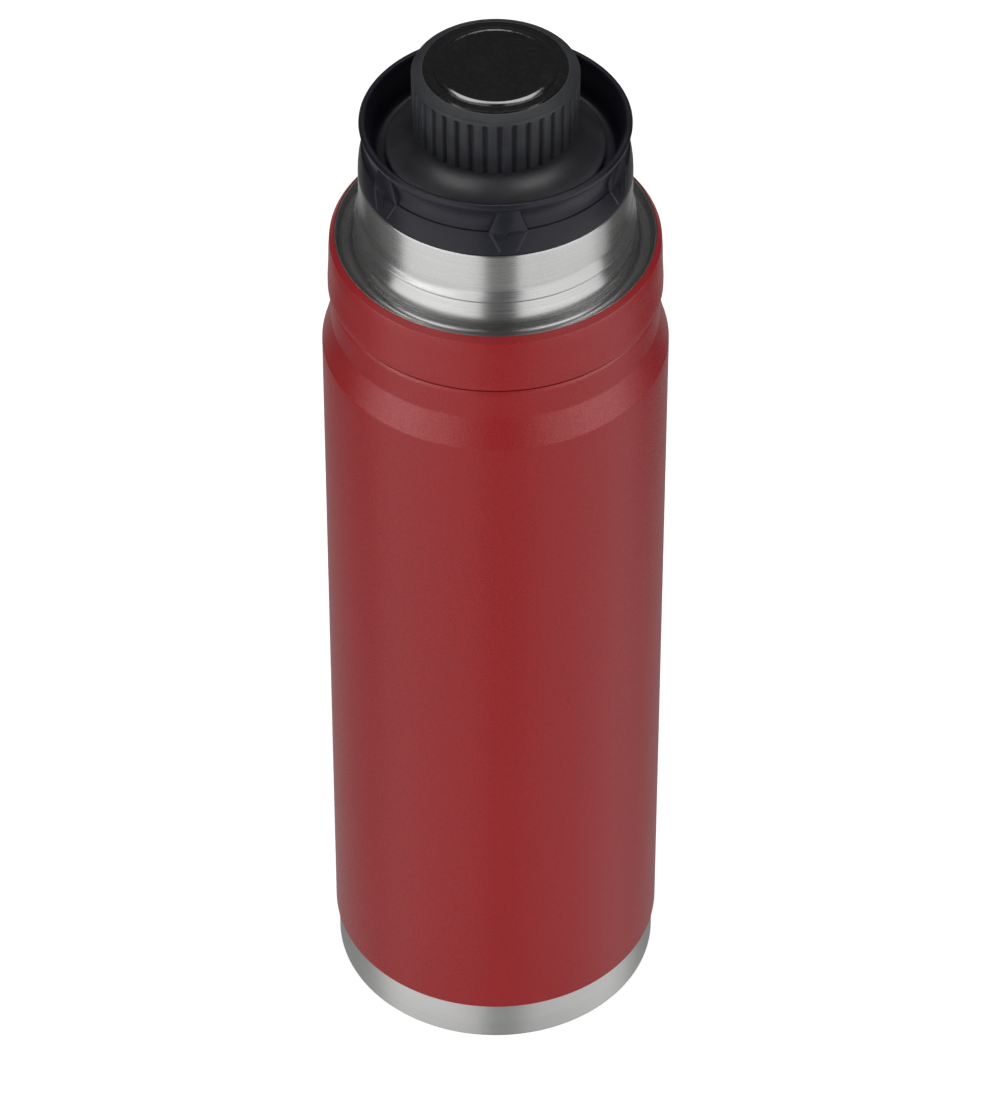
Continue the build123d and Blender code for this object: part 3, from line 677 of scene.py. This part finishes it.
for k in range(4):
    az = math.radians(45 + 90 * k)
    bmx = bmesh.new()
    bmesh.ops.create_cube(bmx, size=1.0)
    for v in bmx.verts:
        t, rad, z = v.co.x * 6.4, 22.3 + v.co.y * 5.8, 230.05 + v.co.z * 21.7
        v.co = Vector(((rad * math.cos(az) - t * math.sin(az)) * MM, (rad * math.sin(az) + t * math.cos(az)) * MM, z * MM))
    bmesh.ops.bevel(bmx, geom=[e for e in bmx.edges if abs((e.verts[0].co - e.verts[1].co).normalized().z) > 0.9],
                    offset=0.0008, segments=3, affect="EDGES", profile=0.5)
    bmesh.ops.recalc_face_normals(bmx, faces=bmx.faces)
    me = bpy.data.meshes.new("channel"); bmx.to_mesh(me); bmx.free()
    cut = bpy.data.objects.new("channel", me)
    scene.collection.objects.link(cut)
    mod = stop.modifiers.new("cut", "BOOLEAN"); mod.operation = "DIFFERENCE"; mod.solver = "EXACT"; mod.object = cut
    bpy.context.view_layer.update()
    new = bpy.data.meshes.new_from_object(stop.evaluated_get(bpy.context.evaluated_depsgraph_get()))
    stop.modifiers.clear(); stop.data = new
    bpy.data.objects.remove(cut)
stop.data.polygons.foreach_set("use_smooth", [True] * len(stop.data.polygons))
stop.data.set_sharp_from_angle(angle=math.radians(34))
dress(stop, BELL, "stopper", "stopper_body")

# ------------------------------------------------------------------ carried-over CAD nodes
for n, mat in {"vacuum_end_plate": INNER, "vacuum_seal_bead": SOLDER, "inner_flask_tube": INNER, "inner_flask_bottom": INNER,
               "radiation_shield": COPPER, "getter_clip": INNER, "getter_pellet": GETTER, "neck_gasket": SILICONE,
               "valve_seal": SILICONE, "drip_seal": SILICONE, "stopper_foam": FOAM, "stopper_bottom_cap": BLACK}.items():
    ob = nodes[n]
    if len(ob.material_slots) == 0:
        ob.data.materials.append(mat)
    for sl in ob.material_slots:
        sl.material = mat

# ------------------------------------------------------------------ studio
fl, nt, b = material("studio_floor")
g = Graph(nt)
g.to(g.mix(g.range(g.noise((6, 6, 6), 2.0, 0.5), 0.3, 0.7, 0, 1), (0.90, 0.90, 0.90), (0.93, 0.93, 0.93)), b.inputs["Base Color"])
b.inputs["Roughness"].default_value = 0.7
b.inputs["Specular IOR Level"].default_value = 0.0
b.inputs["Emission Color"].default_value = (1, 1, 1, 1)
b.inputs["Emission Strength"].default_value = 0.64
me = bpy.data.meshes.new("studio_floor")
me.from_pydata([(-30, -30, 0), (30, -30, 0), (30, 30, 0), (-30, 30, 0)], [], [(0, 1, 2, 3)])
floor = bpy.data.objects.new("studio_floor", me)
floor.data.materials.append(fl)
scene.collection.objects.link(floor)
floor.visible_glossy = False
floor.visible_diffuse = False
floor.visible_shadow = False

world = bpy.data.worlds.new("studio")
world.use_nodes = True
world.node_tree.nodes["Background"].inputs[0].default_value = (1, 1, 1, 1)
world.node_tree.nodes["Background"].inputs[1].default_value = 0.09
scene.world = world


def panel(name, az, dist, z, width, height, radiance, target_z=None, tint=(1, 1, 1), glossy=True, diffuse=True):
    """A soft box standing dist away at azimuth az (degrees from the front
    towards +X), facing the axis; radiance is what a mirror would show."""
    l = bpy.data.lights.new(name, "AREA")
    l.shape = "RECTANGLE"
    l.size, l.size_y = width, height
    l.energy = radiance * math.pi * width * height
    l.color = tint
    o = bpy.data.objects.new(name, l)
    scene.collection.objects.link(o)
    a = math.radians(az)
    o.location = (dist * math.sin(a), -dist * math.cos(a), z)
    aim = Vector((0, 0, z if target_z is None else target_z)) - Vector(o.location)
    o.rotation_euler = aim.to_track_quat("-Z", "Y").to_euler()
    o.visible_camera = False
    o.visible_glossy = glossy
    o.visible_diffuse = diffuse
    return o


def arc(name, az0, az1, dist, z0, z1, radiance, **kw):
    """Several panels side by side round the axis, from az0 to az1."""
    n = max(1, int(round(abs(az1 - az0) / 27.0)))
    w = abs(az1 - az0) / n
    for i in range(n):
        panel(f"{name}_{i}", min(az0, az1) + w * (i + 0.5), dist, (z0 + z1) / 2, 2 * dist * math.tan(math.radians(w / 2)), z1 - z0, radiance, **kw)


arc("left_lower", -82, -8, 0.55, -0.80, -0.14, 0.84)
arc("left_upper", -80, -10, 0.55, -0.14, 0.62, 1.03)
arc("left_side", -142, -82, 0.55, -0.85, -0.30, 0.31)
arc("right_lower", 18, 58, 0.55, -0.80, -0.14, 0.71)
arc("right_lower_b", 58, 104, 0.55, -0.80, -0.14, 0.76)
arc("right_upper", 16, 84, 0.55, -0.14, 0.62, 0.90)
arc("right_side", 104, 142, 0.55, -0.85, -0.30, 0.30)
arc("front_gap", -8, 18, 0.55, -0.36, -0.14, 0.20)
arc("front_gap_low", -8, 18, 0.55, -0.85, -0.36, 0.33)
arc("back_left", -178, -142, 0.55, -0.80, 0.10, 0.30)
arc("back_right", 142, 178, 0.55, -0.80, 0.10, 0.26)
panel("sky_left", -52, 0.85, 0.95, 0.70, 0.50, 1.60, target_z=0.20)
panel("sky_right", 52, 0.85, 0.95, 0.70, 0.50, 1.50, target_z=0.20)
panel("top_back", 180, 0.46, 1.36, 0.85, 0.36, 5.0, target_z=0.25)

# strips that only rake the coated shell, for the sheen on its shoulder
coated = bpy.data.collections.new("coated")
scene.collection.children.link(coated)
for o in (body_shell, collar_ring):
    coated.objects.link(o)
for name, az0, az1, rad in (("rake_left_a", -90, -70, 2.4), ("rake_left_b", -70, -48, 5.0), ("rake_left_c", -48, -24, 2.6),
                            ("rake_right_a", 28, 48, 2.2), ("rake_right_b", 48, 86, 4.0), ("rake_right_c", 86, 102, 1.8)):
    w = az1 - az0
    o = panel(name, az0 + w / 2, 0.55, 0.095, 2 * 0.55 * math.tan(math.radians(w / 2)), 0.21, rad, diffuse=False)
    o.light_linking.receiver_collection = coated

cam = bpy.data.cameras.new("camera")
cam.lens = 198.74
cam.sensor_width = 36.0
cam.sensor_fit = "AUTO"
cam.shift_x = 0.00405
cam.clip_start = 0.05
cam.clip_end = 100
camera = bpy.data.objects.new("camera", cam)
camera.location = (0.0, -1.00096, 1.06560)
camera.rotation_euler = (math.radians(90 - 43.296), 0, 0)
scene.collection.objects.link(camera)
scene.camera = camera
scene.view_settings.view_transform = "Standard"
scene.view_settings.look = "None"
scene.view_settings.exposure = 0.0
scene.view_settings.gamma = 1.0

bpy.context.view_layer.update()
